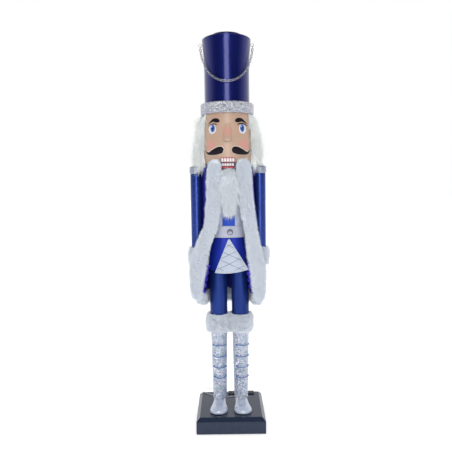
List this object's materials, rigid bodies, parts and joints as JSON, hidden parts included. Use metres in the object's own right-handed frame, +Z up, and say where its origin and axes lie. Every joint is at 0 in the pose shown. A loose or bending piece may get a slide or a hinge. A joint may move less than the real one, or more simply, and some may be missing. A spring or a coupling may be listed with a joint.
{
  "type": "nutcracker figure",
  "caption": "Tall standing toy-soldier nutcracker with hinged jaw, shako with chain, fur-trimmed satin robe and button-cell light lead on a bevelled base.",
  "frame": {"origin": "centre of the base's underside", "axes": "+Z up through the figure, -Y the way the face looks, +X to the right of someone facing it"},
  "size_m": [0.194, 0.16, 0.915],
  "materials": {
    "base_black": "high gloss black lacquer",
    "felt": "pressed felt",
    "screw_steel": "zinc plated",
    "bare_wood": "bare turned wood",
    "leg_blue": "gloss blue paint",
    "arm_blue": "gloss blue paint",
    "torso_blue": "satin blue paint",
    "boot_glitter": "silver white glitter",
    "shoe_pearl": "pearl silver paint",
    "lace_blue": "light blue metallic cord",
    "fur_white": "long pile faux fur",
    "satin_blue": "blue satin with metallic sheen",
    "vest_satin": "bright blue satin",
    "lapel_white": "smooth pale satin",
    "belt_silver": "metallic silver",
    "buckle_silver": "polished",
    "stone": "faceted, foil backed",
    "skirt_blue": "glossy royal blue satin",
    "apron_white": "quilted iridescent satin",
    "epaulette_silver": "silver glitter",
    "face_peach": "satin flesh paint",
    "teeth_white": "gloss white paint",
    "lip_red": "gloss red paint",
    "hair_white": "long pile faux fur",
    "hat_blue": "blue glitter lacquer",
    "band_silver": "silver white glitter",
    "chain_silver": "polished",
    "case_black": "black moulding",
    "cell_steel": "stainless can",
    "lead_silver": "bare silver wire",
    "bead_clear": "clear epoxy drop"
  },
  "bodies": {
    "root": {"base_felt": "felt", "base_block": "base_black", "base_screws": "screw_steel", "shoe_left": "shoe_pearl", "shoe_right": "shoe_pearl", "boot_left": "boot_glitter", "boot_right": "boot_glitter", "boot_lacing_left": "lace_blue", "boot_lacing_right": "lace_blue", "boot_fur_left": "fur_white", "boot_fur_right": "fur_white", "leg_left": "leg_blue", "leg_right": "leg_blue", "leg_dowels": "bare_wood", "torso": "torso_blue", "vest_panel": "vest_satin", "lapel_left": "lapel_white", "lapel_right": "lapel_white", "belt": "belt_silver", "buckle_bezel": "buckle_silver", "buckle_stone": "stone", "coat_skirt": "skirt_blue", "apron": "apron_white", "arm_left": "arm_blue", "arm_right": "arm_blue", "arm_dowels": "bare_wood", "epaulette_left": "epaulette_silver", "epaulette_right": "epaulette_silver", "hand_left": "face_peach", "hand_right": "face_peach", "sleeve_fur_left": "fur_white", "sleeve_fur_right": "fur_white", "neck_dowels": "bare_wood", "head": "face_peach", "nose": "face_peach", "upper_teeth": "teeth_white", "hair": "hair_white", "hat_dowel": "bare_wood", "hat_band": "band_silver", "hat_body": "hat_blue", "hat_cap": "hat_blue", "chain_eyes": "chain_silver", "jaw_pin": "screw_steel", "robe_back": "satin_blue", "robe_left": "satin_blue", "robe_right": "satin_blue", "fur_trim_left": "fur_white", "fur_trim_right": "fur_white", "fur_hem": "fur_white", "battery_case": "case_black", "coin_cells": "cell_steel", "lead_wire": "lead_silver", "led_beads": "bead_clear"},
    "jaw": {"jaw_lever": "torso_blue", "lower_teeth": "teeth_white", "lower_lip": "lip_red", "beard": "hair_white"},
    "chain": {"hat_chain": "chain_silver"},
    "cover": {"battery_cover": "case_black"},
    "switch": {"switch_slider": "case_black"}
  },
  "joints": [
    {"name": "jaw_hinge", "type": "hinge", "parent": "root", "child": "jaw", "pos_m": [0, 0.018, 0.604], "axis": [1, 0, 0], "range_deg": [0, 15], "deforming": ["beard"]},
    {"name": "chain_swing", "type": "hinge", "parent": "root", "child": "chain", "pos_m": [0, 0, 0.89], "axis": [-1, 0, 0], "range_deg": [0, 80]},
    {"name": "cover_slide", "type": "slide", "parent": "root", "child": "cover", "axis": [1, 0, 0], "range_m": [0, 0.07]},
    {"name": "switch_slide", "type": "slide", "parent": "root", "child": "switch", "axis": [1, 0, 0], "range_m": [0, 0.003]}
  ]
}
